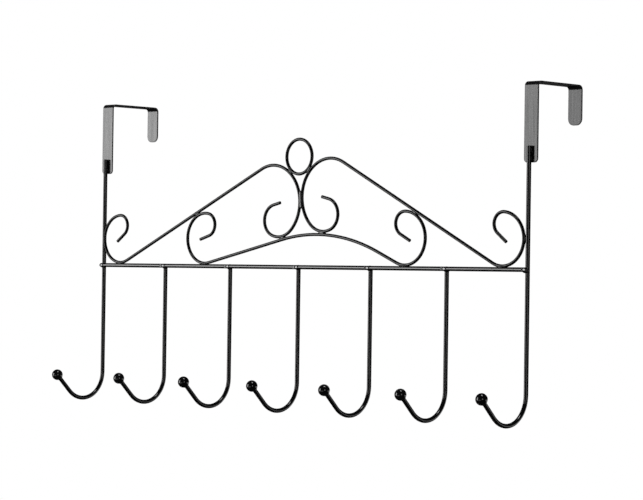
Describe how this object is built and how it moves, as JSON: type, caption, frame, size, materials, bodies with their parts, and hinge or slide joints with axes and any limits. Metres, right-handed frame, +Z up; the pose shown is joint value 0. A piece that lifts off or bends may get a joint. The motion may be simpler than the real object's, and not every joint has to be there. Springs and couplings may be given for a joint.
{
  "type": "over door hook",
  "caption": "Welded wire rack with scroll work under a low gable and a row of ball-tipped hooks, hung over a door's top edge by bent flat straps.",
  "frame": {"origin": "middle of the door's top front edge: halfway between the straps, in the plane of the undersides of their top plates and of the backs of their front legs", "axes": "+X to the right as seen from the front of the door, +Y into the door, +Z up; the hooks point towards -Y"},
  "size_m": [0.444, 0.1031, 0.2363],
  "materials": {
    "coated_wire": "gloss",
    "scroll_wire": "gloss",
    "coated_strip": "gloss",
    "ball_tip": "gloss"
  },
  "bodies": {
    "root": {"cross_bar": "coated_wire", "left_end_hook": "coated_wire", "hook_2": "coated_wire", "hook_3": "coated_wire", "hook_4": "coated_wire", "hook_5": "coated_wire", "hook_6": "coated_wire", "right_end_hook": "coated_wire", "ball_tip_1": "ball_tip", "ball_tip_2": "ball_tip", "ball_tip_3": "ball_tip", "ball_tip_4": "ball_tip", "ball_tip_5": "ball_tip", "ball_tip_6": "ball_tip", "ball_tip_7": "ball_tip", "left_door_strap": "coated_strip", "right_door_strap": "coated_strip", "left_roof_scroll": "scroll_wire", "right_roof_scroll": "scroll_wire", "arch_scroll": "scroll_wire", "top_ring": "scroll_wire"}
  },
  "joints": []
}
